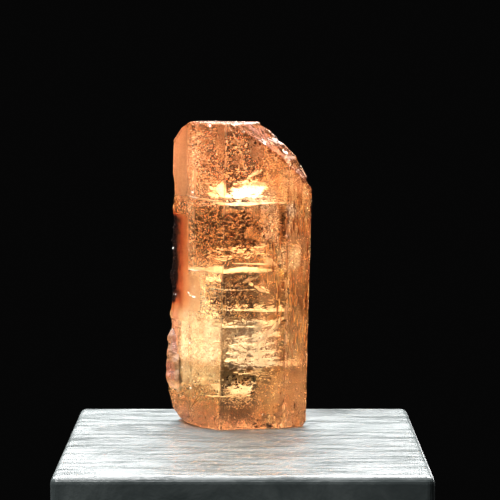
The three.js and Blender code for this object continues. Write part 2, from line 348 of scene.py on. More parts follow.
# ---------------- materials

class Net:
    """A node tree being made, with a short way to add nodes and fill their inputs."""

    def __init__(self, tree):
        self.nodes, self.links = tree.nodes, tree.links

    def fill(self, node, inputs):
        """Set each input of a node to a value, or link an output to it."""
        for key, value in inputs.items():
            if isinstance(value, bpy.types.NodeSocket):
                self.links.new(value, node.inputs[key])
            else:
                node.inputs[key].default_value = value

    def add(self, kind, inputs, output=0, **settings):
        """One output of a new node, made from its settings and inputs."""
        node = self.nodes.new(kind)
        for key, value in settings.items():
            setattr(node, key, value)
        self.fill(node, inputs)
        return node.outputs[output]


class Finish(Net):
    """A node material being made, with short words for common nodes."""

    def __init__(self, name):
        self.material = bpy.data.materials.new(name)
        self.material.use_nodes = True
        super().__init__(self.material.node_tree)
        self.nodes.clear()
        self.out = self.nodes.new("ShaderNodeOutputMaterial")
        self.shader = self.nodes.new("ShaderNodeBsdfPrincipled")
        self.links.new(self.shader.outputs["BSDF"], self.out.inputs["Surface"])

    def place(self, scale=(1, 1, 1), lean=LEAN):
        """Object coordinates in mm, upright along the crystal's axis and then stretched."""
        place = self.add("ShaderNodeTexCoord", {}, "Object")
        inputs = {"Vector": place, "Rotation": (0, lean, 0), "Scale": [MM / k for k in scale]}
        return self.add("ShaderNodeMapping", inputs, vector_type="TEXTURE")

    def axes(self):
        split = self.nodes.new("ShaderNodeSeparateXYZ")
        self.fill(split, {"Vector": self.place(lean=0)})
        return split.outputs

    def layer(self, name):
        return self.add("ShaderNodeAttribute", {}, "Fac", attribute_name=name)

    def chain(self, kind, values, clamp=False):
        """Values joined one after another by a kind of math."""
        total, *others = values
        for value in others:
            pair = {0: total, 1: value}
            total = self.add("ShaderNodeMath", pair, operation=kind, use_clamp=clamp)
        return total

    def times(self, *values):
        return self.chain("MULTIPLY", values)

    def plus(self, *values, clamp=False):
        return self.chain("ADD", values, clamp)

    def most(self, *values):
        return self.chain("MAXIMUM", values)

    def other_than(self, share):
        return self.chain("SUBTRACT", (1.0, share))

    def step(self, value, low, high, to_low=0.0, to_high=1.0):
        """Smooth change of a value between two limits."""
        inputs = dict(enumerate((value, low, high, to_low, to_high)))
        return self.add("ShaderNodeMapRange", inputs, interpolation_type="SMOOTHSTEP")

    def noise(self, scale, stretch=(1, 1, 1), detail=4.0, rough=0.6, distortion=0.0):
        inputs = {"Vector": self.place(stretch), "Scale": scale, "Detail": detail}
        inputs.update({"Roughness": rough, "Distortion": distortion})
        return self.add("ShaderNodeTexNoise", inputs, "Fac")

    def mix_number(self, share, one, two):
        return self.add("ShaderNodeMix", {0: share, 2: one, 3: two})

    def coats(self, colour, layers):
        """A colour with coats over it, each a share and a shade."""
        for share, shade in layers:
            inputs = {0: share, 6: colour, 7: (*shade, 1)}
            colour = self.add("ShaderNodeMix", inputs, 2, data_type="RGBA")
        return colour

    def ramp(self, value, stops):
        node = self.nodes.new("ShaderNodeValToRGB")
        self.fill(node, {"Fac": value})
        ramp = node.color_ramp
        while len(ramp.elements) < len(stops):
            ramp.elements.new(0.5)
        for element, (position, colour) in zip(ramp.elements, stops):
            element.position = position
            element.color = (*colour, 1)
        return node.outputs["Color"]

    def bump(self, height, depth):
        """Relief of a height from 0 to 1, as deep as the depth in mm."""
        inputs = {"Strength": 1, "Distance": depth * MM, "Height": height}
        return self.add("ShaderNodeBump", inputs, "Normal")


TRANSMISSION = 0.97
REFRACTION = 1.62
ABSORPTION = ((0.97, 0.8, 0.5, 1), 100)  # colour, density per metre
RELIEF_DEPTH = 0.17

# Body tint by share of the height.
HEIGHT_COLOURS = [
    (0.0, (0.26, 0.11, 0.07)),
    (0.04, (0.40, 0.20, 0.12)),
    (0.1, (0.44, 0.30, 0.16)),
    (0.16, (0.50, 0.44, 0.28)),
    (0.205, (0.30, 0.23, 0.13)),
    (0.211, (0.94, 0.77, 0.54)),
    (0.4, (0.96, 0.72, 0.47)),
    (0.56, (0.94, 0.58, 0.34)),
    (0.72, (1.0, 0.54, 0.32)),
    (1.0, (1.0, 0.49, 0.31)),
]

# Soft boxes in the plane of the front. Their limits across and up are each four: where the box
# begins, where it is full, where it starts to fall and where it ends.
# Tinted boxes, clearer or darker than the rest, partly the body's own colour and partly painted
# glow and painted shade: across, up, share, tint.
TINTS_AND_PAINTED_LIGHT = [
    ((2.3, 2.9, 3.9, 4.3), (17.8, 19.0, 22.0, 22.4), 0.8, (1.0, 0.72, 0.55)),
    ((4.8, 4.9, 5.5, 6.0), (17.6, 18.6, 20.6, 21.4), 0.6, (1.0, 0.66, 0.42)),
    ((4.8, 4.9, 5.5, 5.9), (20.8, 21.3, 22.2, 22.6), 0.95, (1.0, 0.95, 0.86)),
    ((4.8, 5.1, 6.1, 6.3), (15.7, 16.3, 17.8, 18.2), 0.85, (1.0, 0.92, 0.66)),
    ((3.8, 4.1, 4.6, 4.8), (15.6, 16.0, 18.0, 18.4), 0.7, (1.0, 0.9, 0.68)),
    ((4.1, 4.2, 4.5, 4.6), (14.9, 15.1, 15.8, 16.0), 0.95, (1.0, 0.74, 0.2)),
    ((-1.6, -0.8, 3.2, 4.2), (21.6, 22.0, 23.4, 24.4), 0.7, (1.0, 0.95, 0.86)),
    ((-1.4, -0.6, 3.4, 4.4), (5.9, 6.3, 9.6, 10.8), 0.8, (1.0, 0.96, 0.86)),
    ((-8.0, -7.4, -5.2, -3.4), (21.8, 23.4, 29.0, 30.0), 0.6, (1.0, 0.56, 0.35)),
    ((-6.4, -5.6, -2.4, -1.2), (5.8, 6.1, 11.5, 13.0), 0.4, (0.80, 0.58, 0.36)),
    ((-3.4, -2.9, -1.6, -1.3), (11.2, 11.8, 14.6, 15.2), 0.7, (0.50, 0.30, 0.15)),
    ((3.0, 4.4, 8.0, 9.0), (-1.0, 0.0, 5.2, 6.4), 0.6, (0.40, 0.22, 0.16)),
    ((1.4, 2.8, 9.0, 10.0), (23.4, 25.0, 31.0, 32.0), 0.6, (0.66, 0.30, 0.16)),
    ((-5.3, -5.0, -4.6, -4.2), (15.4, 16.4, 21.8, 22.4), 0.6, (1.0, 0.84, 0.66)),
]
AREAS = {
    # painted shade: a dark patch on the right front
    "painted shade patch": ((3.9, 4.15, 4.6, 4.8), (18.6, 19.4, 22.0, 22.5)),
    # painted shade over the upper window
    "window_shade": ((-4.8, -4.0, 1.8, 2.8), (15.9, 17.4, 21.7, 22.2)),
    "blush": ((-8.0, -7.6, -6.6, -6.2), (4.0, 4.6, 5.8, 6.4)),
    "seam": ((-6.8, -6.5, -6.2, -5.8), (6.6, 7.4, 11.6, 12.6)),
    "upper window": ((-5.4, -3.6, 1.6, 3.2), (15.8, 17.2, 21.6, 22.6)),
    "lower window": ((-2.6, -0.6, 1.4, 3.0), (9.5, 11.5, 14.0, 15.5)),
    "cream": ((-9, -8, 0.5, 2.0), (3.0, 4.6, 14.5, 16.0)),
    "milky": ((-9, -8, 3.0, 4.4), (6.0, 6.3, 10.0, 11.2)),
    "blurred left": ((-9.0, -8.0, -5.4, -3.9), (9.0, 11.0, 20.5, 22.5)),
    "blurred middle": ((-6.4, -5.4, -4.2, -2.6), (9.6, 12.2, 14.4, 17.0)),
}


def topaz_finish():
    f = Finish("topaz")
    step, times, most, plus, mix = f.step, f.times, f.most, f.plus, f.mix_number
    x, y, z = f.axes()
    etched, ribbed, frosted = f.layer("etched"), f.layer("ribbed"), f.layer("frosted")
    broken, grown, worn, domed = (f.layer(n) for n in ("broken", "grown", "worn", "domed"))

    def box(across, up):
        """Share of a soft box in the plane of the front."""
        sides = times(step(x, *across[:2]), step(x, *across[:1:-1]))
        return times(sides, step(z, *up[:2]), step(z, *up[:1:-1]))

    area = {name: box(across, up) for name, (across, up) in AREAS.items()}
    mottled = f.noise(1.3, stretch=(1, 1, 1.6), detail=4.0, rough=0.7)
    grain = f.noise(4.6, stretch=(1, 1, 1.5), detail=3.0, rough=0.7)
    ribs = f.noise(2.6, stretch=(1, 1, 0.06), detail=3.0, rough=0.7)
    bars = f.noise(1.1, stretch=(1, 1, 0.12), detail=3.0, rough=0.65)
    streaks = f.noise(3.4, stretch=(1, 1, 0.1), detail=2.0, rough=0.6)

    # Tint by height, with cloudy limits above the foot.
    cloudy = plus(f.noise(0.3, detail=2.0), -0.5)
    level = times(plus(z, times(x, 0.03)), 1 / 30.4)
    level = plus(level, times(cloudy, step(level, 0.2, 0.3, 0.0, 0.16)))
    # Streaks that run up the right-hand faces.
    right = step(x, 2.0, 4.4)
    # rust streaks and painted shade, darkest to the right and higher up
    rust_and_shade = times(step(x, 3.4, 6.2), step(bars, 0.36, 0.54, 0.4, 1.0))
    rust_and_shade = times(rust_and_shade, step(z, 8.0, 16.5, 0.45, 1.0))
    golden = times(right, step(streaks, 0.50, 0.57, 0.0, 0.85))
    dull = times(right, step(streaks, 0.48, 0.42, 0.0, 0.8))
    streaky = step(streaks, 0.36, 0.5, 0.55, 1.0)
    # painted shade in the upper window, darker to the left
    window_shade = times(area["window_shade"], step(x, -1.4, -2.4, 0.35, 0.75))
    # Iron stain and painted shade in the splintered left edge: orange, then deep red, painted black
    # shade at its heart.
    stain_and_shade = times(step(z, 10.6, 12.8), step(z, 22.2, 20.4), step(x, -3.6, -6.9))
    drift = times(plus(f.noise(0.9), -0.5), 0.6)
    stain_and_shade = plus(stain_and_shade, times(drift, step(x, -4.6, -6.2)), clamp=True)
    stain_and_shade = times(stain_and_shade, step(x, -3.4, -5.2))
    colour = f.coats(f.ramp(level, HEIGHT_COLOURS), [
        # rust streaks with painted shade on the right faces
        (rust_and_shade, (0.31, 0.11, 0.055)),
        (golden, (0.98, 0.76, 0.44)),
        (dull, (0.30, 0.11, 0.05)),
        # tinted boxes: body colour, painted glow and painted shade
        *((times(box(across, up), share, streaky), tint) for across, up, share, tint in TINTS_AND_PAINTED_LIGHT),
        # painted shade: near-black patch on the right front
        (times(area["painted shade patch"], 0.92), (0.12, 0.03, 0.01)),
        (window_shade, (0.50, 0.22, 0.11)),
        (step(mottled, 0.42, 0.62, 0.0, 0.3), (0.60, 0.25, 0.10)),
        (step(grain, 0.44, 0.62, 0.0, 0.35), (0.45, 0.18, 0.08)),
        (times(domed, step(mottled, 0.35, 0.6, 0.4, 0.9)), (0.40, 0.13, 0.055)),
        (times(grown, 0.85), (0.76, 0.38, 0.18)),
        (most(area["blush"], area["seam"]), (0.66, 0.22, 0.13)),
        # orange stain, then deep red and black that are painted shade on the splintered edge
        (step(stain_and_shade, 0.0, 0.5), (0.66, 0.22, 0.08)),
        (step(stain_and_shade, 0.38, 0.75), (0.38, 0.045, 0.012)),
        (step(stain_and_shade, 0.66, 0.88), (0.008, 0.002, 0.001)),
    ])

    # The back is etched: clear between deep worms in two windows, finer and hazier elsewhere.
    window = most(area["upper window"], area["lower window"])
    cream = times(area["cream"], f.other_than(area["lower window"]))
    smooth = times(step(x, 0.0, 1.6), step(z, 25.5, 27.5))
    smooth = most(step(x, -1.6, -3.8), smooth, 0.15)
    haze = most(times(step(z, 21.5, 23.0), smooth), cream)
    etch = mix(window, step(f.noise(0.7, detail=3.0), 0.4, 0.6, 0.06, 0.24), 0.05)
    etch = mix(haze, etch, step(z, 20.0, 22.0, 0.36, 0.5))
    rough = mix(etched, 0.04, etch)
    rough = mix(ribbed, rough, step(streaks, 0.45, 0.62, 0.04, 0.2))
    rough = most(rough, times(ribbed, area["milky"], 0.42))
    rough = mix(frosted, rough, step(z, 0.1, 20.0, 0.18, 0.22))
    rough = most(
        rough,
        times(domed, step(mottled, 0.4, 0.6, 0.04, 0.12)),
        times(step(z, 20.5, 23.5), step(x, -3.6, -5.4), 0.3),
        times(broken, 0.2),
        times(grown, 0.42),
        times(worn, step(f.noise(1.2), 0.35, 0.6, 0.1, 0.45)),
        step(z, 2.2, 0.4, 0.08, 0.26),
        times(most(area["blurred left"], area["blurred middle"]), 0.34),
    )

    # Relief: worms on the etched back, ridges on the ribbed faces, fibres in the upper part.
    coarse = f.noise(1.9, stretch=(1, 1, 2.6), detail=1.6, distortion=1.1)
    fine = f.noise(2.9, stretch=(1, 1, 2.6), detail=2.0, distortion=0.8)
    fibres = f.noise(3.6, stretch=(1, 1, 1.4), detail=2.0, distortion=0.6)
    upper = times(step(z, 23.2, 24.6), f.other_than(window))
    worms = mix(window, times(coarse, 0.4), step(coarse, 0.5, 0.64, 0.0, 0.62))
    worms = plus(worms, times(fine, mix(window, 0.8, 0.08)))
    worms = times(worms, mix(haze, 1.0, 0.5))
    worms = mix(upper, worms, times(fibres, mix(haze, 1.0, 0.55)))
    ridges = plus(ribs, times(fine, 0.4), times(coarse, area["milky"], 0.9))
    ridges = mix(upper, ridges, times(fibres, 0.8))
    relief = plus(
        times(worms, etched),
        times(ridges, ribbed, 1.3),
        times(mottled, frosted, step(z, 29.0, 29.5), 0.6),
        times(f.noise(3.0), grown, 1.2),
        times(mottled, step(z, 2.6, 1.6, 0.06, 0.4)),
    )
    f.fill(f.shader, {"Base Color": colour, "Roughness": rough})
    f.fill(f.shader, {"Normal": f.bump(relief, RELIEF_DEPTH)})
    f.fill(f.shader, {"Transmission Weight": TRANSMISSION, "IOR": REFRACTION})
    tint, density = ABSORPTION
    body = f.add("ShaderNodeVolumeAbsorption", {"Color": tint, "Density": density})
    f.fill(f.out, {"Volume": body})
    return f.material


def flaw_finish(name, colour, roughness, metallic=0.0, gloss=0.5):
    f = Finish(name)
    f.fill(f.shader, {"Base Color": (*colour, 1), "Roughness": roughness})
    f.fill(f.shader, {"Metallic": metallic, "Specular IOR Level": gloss})
    return f.material


crystal.data.materials.append(topaz_finish())
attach(crystal, "root")
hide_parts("crystal")


# ---------------- cleavage cracks

def room_around(points):
    """Distance in mm from points to the crystal's skin, roughly, above zero inside."""
    own = to_crystal(points)
    room = np.minimum(TOP_HEIGHT - own[:, 2], points[:, 2])
    for angle, distance, _ in PRISM_FACES.values():
        room = np.minimum(room, distance - own @ plan_direction(angle))
    for normal, offset in dome_planes():
        room = np.minimum(room, offset - own @ normal)
    return room


CRACK_STEP = 0.08
CRACK_THICKNESS = 0.03
RAGGED = ((0.7, (1.8, 1.2, 9)), (0.5, (0.6, 0.5, 9)), (0.35, (0.25, 0.22, 9)))  # part, size


def crack(level, slope, rise, across, deep, openness, seed):
    """Vertices and faces of a thin closed sheet that splits the crystal nearly level.

    level is the height at x = 0 and the front, slope its change per mm across, rise its change
    per mm towards the back, across and deep its limits, openness the share that is open.
    """
    xs, ys = (np.arange(low, high + CRACK_STEP, CRACK_STEP) for low, high in (across, deep))
    gx, gy = np.meshgrid(xs, ys, indexing="ij")
    flat = np.stack([gx.ravel(), gy.ravel(), np.full(gx.size, float(level))], axis=1)
    wave = 0.14 * noise(flat, 3.1, seed) + 0.05 * noise(flat, 0.9, seed + 1)
    flat[:, 2] = level + slope * flat[:, 0] + rise * (flat[:, 1] + 4) + wave
    centre = flat.reshape(*gx.shape, 3)
    middle = (centre[1:, 1:] + centre[:-1, :-1]) / 2
    places = middle.reshape(-1, 3)
    edge = 1
    for axis, (low, high) in enumerate((across, deep)):
        edge = edge - np.abs((2 * places[:, axis] - low - high) / (high - low)) ** 3
    ragged = sum(part * noise(places, size, seed + 2 + k) for k, (part, size) in enumerate(RAGGED))
    keep = (ragged + 1.1 * edge > 1.5 - 1.9 * openness) & (edge > 0)
    keep &= room_around(places) > 0.15
    return sheet_mesh(centre, keep.reshape(middle.shape[:2]), CRACK_THICKNESS)


def sheet_mesh(centre, keep, thickness):
    """A closed sheet from a grid of points and the cells of it that are kept."""
    nx, ny = centre.shape[:2]
    index = np.arange(nx * ny).reshape(nx, ny)
    top = centre.reshape(-1, 3) + (0, 0, thickness / 2)
    low = centre.reshape(-1, 3) - (0, 0, thickness / 2)
    i, j = np.nonzero(keep)
    ring = np.stack([index[i, j], index[i + 1, j], index[i + 1, j + 1], index[i, j + 1]], axis=1)
    faces = [ring, ring[:, ::-1] + nx * ny]
    padded = np.pad(keep, 1)
    for di, dj, one, two in ((0, -1, 0, 1), (1, 0, 1, 2), (0, 1, 2, 3), (-1, 0, 3, 0)):
        rim = ~padded[i + 1 + di, j + 1 + dj]
        first, second = ring[rim, one], ring[rim, two]
        faces.append(np.stack([second, first, first + nx * ny, second + nx * ny], axis=1))
    faces = np.concatenate(faces)
    used, faces = np.unique(faces, return_inverse=True)
    return np.concatenate([top, low])[used], faces.reshape(-1, 4)


def joined(parts):
    """One list of vertices and one of faces out of several."""
    starts = np.cumsum([0] + [len(points) for points, faces in parts])
    faces = [faces + start for (points, faces), start in zip(parts, starts)]
    return np.concatenate([points for points, faces in parts]), np.concatenate(faces)


# Cracks: level, slope across, rise to the back, limits across, limits deep, openness.
CRACKS = [
    (22.35, -0.12, 0.02, (-5.6, -1.2), (-4.2, 1.6), 0.55),
    (22.3, 0.02, 0.03, (-1.8, 5.6), (-4.6, 0.8), 0.6),
    (22.4, 0.0, 0.27, (-1.3, 2.7), (-2.4, 2.6), 0.5),
    (16.45, 0.0, 0.0, (-0.8, 3.5), (-3.8, -1.6), 0.6),
    (15.55, 0.01, 0.03, (-5.2, 3.5), (-4.2, 2.0), 0.64),
    (13.85, 0.0, 0.01, (-2.6, 1.6), (-4.0, -1.6), 0.55),
    (11.8, 0.0, 0.0, (-3.2, 5.2), (-4.2, -0.6), 0.58),
    (10.7, -0.04, 0.0, (-1.2, 2.8), (-3.8, -1.0), 0.5),
    (10.15, 0.0, 0.0, (-2.8, 2.8), (-4.0, -0.8), 0.53),
    (6.35, -0.03, 0.0, (1.2, 6.2), (-3.4, 0.6), 0.55),
    (3.1, -0.06, 0.0, (-4.4, 0.8), (-3.4, -0.4), 0.45),
    (2.9, 0.02, 0.26, (-1.3, 1.3), (-2.6, 1.0), 0.42),
]
points, faces = joined([crack(*row, seed=200 + 10 * index) for index, row in enumerate(CRACKS)])
cracks = new_mesh("cleavage_cracks", points - CENTRE, faces, smooth_angle=40)
f = Finish("cleavage crack")
f.fill(f.shader, {"Base Color": (0.84, 0.93, 1.0, 1), "Metallic": 0.6, "Roughness": 0.35})
f.fill(f.shader, {"Normal": f.bump(f.noise(1.6, detail=3.0, distortion=1.0), 0.3)})
cracks.data.materials.append(f.material)
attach(cracks, "root")


# ---------------- flakes and specks

def scatter_tree(material):
    """Geometry nodes that set a thin flake on each point of a cloud, turned by its lie."""
    tree = bpy.data.node_groups.new("flakes", "GeometryNodeTree")

    def socket(name, kind, side="INPUT"):
        kind = "NodeSocket" + kind
        return tree.interface.new_socket(name, in_out=side, socket_type=kind).identifier

    socket("Cloud", "Geometry")
    keys = {name: socket(name, "Float") for name in ("Length", "Width", "Thickness", "Tilt")}
    keys["Seed"] = socket("Seed", "Int")
    socket("Flakes", "Geometry", "OUTPUT")
    net = Net(tree)
    start = net.nodes.new("NodeGroupInput").outputs
    ball = net.add("GeometryNodeMeshIcoSphere", {"Radius": 0.5, "Subdivisions": 1}, "Mesh")
    sides = {0: start["Length"], 1: start["Width"], 2: start["Thickness"]}
    size = net.add("ShaderNodeCombineXYZ", sides)
    shape = net.add("GeometryNodeTransform", {"Geometry": ball, "Scale": size})
    lie, spread = (
        net.add("GeometryNodeInputNamedAttribute", {"Name": name}, "Attribute", data_type=kind)
        for name, kind in (("lie", "FLOAT_VECTOR"), ("spread", "FLOAT"))
    )
    low = net.add("ShaderNodeMath", {0: start["Tilt"], 1: -1}, operation="MULTIPLY")
    inputs = {0: low, 1: start["Tilt"], "Seed": start["Seed"]}
    wobble = net.add("FunctionNodeRandomValue", inputs, "Value", data_type="FLOAT_VECTOR")
    turn = net.add("ShaderNodeVectorMath", {0: lie, 1: wobble}, operation="ADD")
    inputs = {"Points": start["Cloud"], "Instance": shape, "Rotation": turn, "Scale": spread}
    put = net.add("GeometryNodeInstanceOnPoints", inputs)
    real = net.add("GeometryNodeRealizeInstances", {"Geometry": put})
    coat = net.add("GeometryNodeSetMaterial", {"Geometry": real, "Material": material})
    net.fill(net.nodes.new("NodeGroupOutput"), {"Flakes": coat})
    return tree, keys


def flakes(name, places, lies, spread, size, tilt, material, seed):
    """A piece of thin flakes, one at each place, in mm.

    lies is the turn of each flake or of them all, spread the limits of their scale and the
    power it is raised to, size their length, width and thickness, tilt how far they wobble.
    """
    low, high, power = spread
    layers = {
        "lie": ("FLOAT_VECTOR", "vector", np.broadcast_to(lies, (len(places), 3)).ravel()),
        "spread": ("FLOAT", "value", random.uniform(low, high, len(places)) ** power),
    }
    cloud = bpy.data.meshes.new(name + "_cloud")
    cloud.from_pydata(((places - CENTRE) * MM).tolist(), [], [])
    for key, (kind, word, values) in layers.items():
        cloud.attributes.new(key, kind, "POINT").data.foreach_set(word, values.astype(float))
    carrier = shown(name + "_carrier", cloud)
    tree, keys = scatter_tree(material)
    modifier = carrier.modifiers.new("flakes", "NODES")
    modifier.node_group = tree
    for key, value in zip(("Length", "Width", "Thickness"), size):
        modifier[keys[key]] = value * MM
    modifier[keys["Tilt"]] = tilt
    modifier[keys["Seed"]] = seed
    evaluated = carrier.evaluated_get(bpy.context.evaluated_depsgraph_get())
    mesh = bpy.data.meshes.new_from_object(evaluated)
    mesh.name = name
    bpy.data.objects.remove(carrier)
    bpy.data.meshes.remove(cloud)
    piece = shown(name, mesh)
    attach(piece, "root")


def inside_cloud(count, middle, reach, margin=0.35):
    """Points strewn round a middle with a reach per axis, kept inside the crystal."""
    found = []
    while sum(len(f) for f in found) < count:
        tries = np.array(middle) + random.normal(size=(count * 2, 3)) * reach
        found.append(tries[room_around(tries) > margin])
    return np.concatenate(found)[:count]


def clouds(rows, margin=0.35):
    return np.concatenate([inside_cloud(*row, margin=margin) for row in rows])


def on_crack(count, level, slope, rise, across, deep):
    """Places and lies of flakes in ragged clusters on a tilted crack."""
    places = np.empty((0, 3))
    while len(places) < count:
        u, v = random.uniform(-1, 1, (2, 6 * count))
        tries = np.empty((len(u), 3))
        tries[:, 0] = (across[0] + across[1] + u * (across[1] - across[0])) / 2
        tries[:, 1] = (deep[0] + deep[1] + v * (deep[1] - deep[0])) / 2
        tries[:, 2] = level + slope * tries[:, 0] + rise * (tries[:, 1] - deep[0])
        tries[:, 2] += 0.07 * random.normal(size=len(u))
        clump = noise(tries, (0.9, 0.7, 5), 81) + 0.7 * noise(tries, (0.35, 0.3, 5), 82)
        keep = (clump > 0.9 * (u ** 2 + v ** 2) - 0.45) & (room_around(tries) > 0.2)
        places = np.concatenate([places, tries[keep]])
    places = places[:count]
    lies = np.zeros((count, 3))
    lies[:, 0] = math.atan(rise)
    lies[:, 1] = -math.atan(slope)
    return places, lies


def on_skin(weights, count, sink, strew=0.0):
    """Places just under the skin, drawn by weight, and the lies of flakes flat against it."""
    chosen = random.choice(len(skin), count, p=weights / weights.sum())
    facing = skin_facing[chosen]
    places = skin[chosen] - sink * facing + strew * random.normal(size=(count, 3))
    lies = np.zeros((count, 3))
    lies[:, 1] = np.arccos(np.clip(facing[:, 2], -1, 1))
    lies[:, 2] = np.arctan2(facing[:, 1], facing[:, 0])
    return places, lies


def drawn_in(points):
    """Points, with those in the open drawn to the middle line until the crystal holds them."""
    points = np.array(points)
    outside = crystal_field(points) > -0.05
    while outside.any():
        points[outside, :2] *= 0.985
        outside = crystal_field(points) > -0.05
    return points


def front_skin(across, heights):
    """Points on the front of the crystal at given places across and heights."""
    # the splintered left edge lies further back than the rest of the front
    widest = np.where(across < -5.2, 2.2, 0.0)
    across = drawn_in(np.stack([across, widest, heights], axis=1))[:, 0]
    near, far = np.full(len(across), -6.0), widest
    for halving in range(16):
        middle = (near + far) / 2
        inside = crystal_field(np.stack([across, middle, heights], axis=1)) < 0
        near, far = np.where(inside, near, middle), np.where(inside, middle, far)
    return np.stack([across, far, heights], axis=1)


def marks(rows):
    """Places along short rows on the front, a little under the skin."""
    places = []
    for count, start, end, strew in rows:
        share = random.uniform(0, 1, (count, 1))
        spots = np.array(start) + share * (np.array(end) - start)
        spots += strew * random.normal(size=(count, 2))
        spots[:, 1] = np.maximum(spots[:, 1], MARK_FOOT)
        places.append(front_skin(*spots.T) + (0, 0.12, 0))
    return np.concatenate(places)


def strokes(scale, seed):
    """Places and lies of strokes that stand in the plane of the front, a little behind it."""
    places = []
    for count, middle, reach in STROKES:
        spots = np.array(middle) + random.normal(size=(int(count * scale), 2)) * reach
        spots = spots[(spots[:, 1] < 29.4) & (np.abs(spots[:, 0]) < 5.6)]
        # none in front of the bright feathers at the height of 23.1
        spots = spots[(spots[:, 0] < -1.8) | (np.abs(spots[:, 1] - 23.1) > 1.3)]
        clump = noise(np.insert(spots, 2, 0, axis=1), 0.8, seed)
        places.append(front_skin(*spots.T)[clump > -0.35] + (0, 0.35, 0))
    places = np.concatenate(places)
    lies = np.zeros((len(places), 3))
    lies[:, 0] = math.pi / 2
    lies[:, 1] = random.normal(size=len(places)) * 0.7 - 0.3
    return places, lies


random = np.random.default_rng(11)
UPRIGHT = (0, 0, 0)

white_flaw_and_highlight = flaw_finish("white flaw", (0.92, 0.94, 0.92), 0.35, metallic=0.5)
iron_speck = flaw_finish("iron speck", (0.03, 0.012, 0.006), 0.6)
# iron crust, dark also as painted shade on the splintered edge
iron_crust = flaw_finish("iron crust", (0.014, 0.005, 0.003), 0.7, gloss=0.08)
# painted glints: pale crumbs on the dark edge
glint_crumb = flaw_finish("pale crumb", (0.85, 0.82, 0.78), 0.4)
# golden slivers, and painted glow for the golden strokes
golden_sliver_and_glow = flaw_finish("golden sliver", (1.0, 0.78, 0.5), 0.5, metallic=0.2)
rust_sliver = flaw_finish("rust sliver", (0.20, 0.06, 0.02), 0.6, gloss=0.2)
veil_flaw = flaw_finish("milky veil", (0.95, 0.93, 0.9), 0.6)
# painted shade: dark strokes for the black seen through the etched back
painted_shade_stroke = flaw_finish("dark stroke", (0.07, 0.022, 0.008), 0.6, gloss=0.2)
rust_film = flaw_finish("rust film", (0.15, 0.045, 0.018), 0.7, gloss=0.1)

# Mist of fine flakes: count, middle, reach.
MIST = [
    (2600, (-3.0, 0.0, 10.8), (2.0, 1.8, 2.6)),
    (1200, (0.5, 0.0, 8.4), (2.0, 1.8, 1.1)),
    (500, (-4.6, 0, 18), (1.0, 1.6, 5)),
    (500, (3.8, 0, 15), (1.4, 1.6, 6)),
    (500, (0, 0.5, 4.5), (4.0, 1.8, 1.4)),
    (1500, (-4.2, 0.0, 26), (1.8, 1.6, 2.6)),
    (700, (0.0, 0.0, 27), (2.6, 1.8, 1.6)),
    (700, (3.4, -1.5, 20.3), (0.7, 1.0, 1.3)),
    (600, (5.2, -1.0, 23.6), (1.0, 1.0, 0.9)),
    (300, (5.3, -1.0, 16.8), (0.5, 0.8, 1.0)),
]
flakes("mist_flakes", clouds(MIST), UPRIGHT,
       (0.4, 1.2, 1.5), (0.14, 0.1, 0.03), 0.6, white_flaw_and_highlight, 3)

# Feather cracks: count, level, slope across, rise to the back, limits across and deep.
FEATHERS = [
    (900, 22.35, 0.0, 0.28, (-2.0, 2.8), (-3.4, 3.4)),
    (160, 24.5, -0.18, 0.3, (-0.2, 2.6), (-3.6, -1.6)),
    (120, 24.4, 0.45, 0.3, (0.9, 2.6), (-3.8, -2.6)),
    (60, 24.0, 0.1, 0.6, (4.3, 5.0), (-3.0, -2.2)),
    (140, 23.5, 0.3, 0.9, (5.2, 6.6), (-2.6, -1.4)),
    (220, 16.9, 0.04, 0.3, (-3.4, 3.0), (-3.8, -0.6)),
    (260, 15.6, 0.0, 0.1, (-5.4, 4.0), (-4.2, -1.4)),
    (120, 17.6, 0.1, 0.4, (-2.8, 2.6), (-3.8, -2.2)),
    (150, 17.9, -0.5, 0.5, (2.4, 4.2), (-3.6, -2.4)),
    (110, 14.3, 0.42, 0.3, (0.3, 2.4), (-3.6, -2.6)),
    (110, 14.9, -0.5, 0.3, (1.0, 2.8), (-3.6, -2.6)),
    (260, 11.9, 0.0, 0.2, (-3.2, 5.0), (-4.0, -1.8)),
    (240, 10.2, 0.0, 0.25, (-2.6, 3.0), (-4.0, -1.6)),
    (420, 6.5, 0.05, 0.19, (-1.4, 4.2), (-3.8, -0.8)),
    (440, 7.2, 0.03, 0.19, (-1.4, 4.0), (-3.8, -0.8)),
    (440, 7.9, 0.08, 0.2, (-1.2, 3.4), (-3.8, -0.8)),
    (420, 8.6, 0.14, 0.2, (-0.6, 4.0), (-3.8, -0.8)),
    (260, 9.3, 0.3, 0.2, (0.6, 4.4), (-3.8, -1.2)),
    (300, 6.6, 0.9, 0.3, (1.6, 4.2), (-3.8, -1.8)),
    (340, 6.3, 0.0, 0.15, (1.4, 6.0), (-3.6, -1.2)),
    (120, 12.6, 0.0, 0.3, (-5.2, -2.6), (-3.0, 1.0)),
    (420, 2.9, 0.05, 0.3, (-1.9, 1.6), (-3.4, 1.4)),
    (200, 4.4, 0.15, 0.3, (-4.6, -1.6), (-2.8, 1.0)),
    (220, 5.4, -0.1, 0.2, (-0.6, 3.4), (-3.4, 1.0)),
]
flakes("feather_flakes", *map(np.concatenate, zip(*(on_crack(*row) for row in FEATHERS))),
       (0.35, 1.25, 2), (0.42, 0.2, 0.02), 0.24, white_flaw_and_highlight, 5)

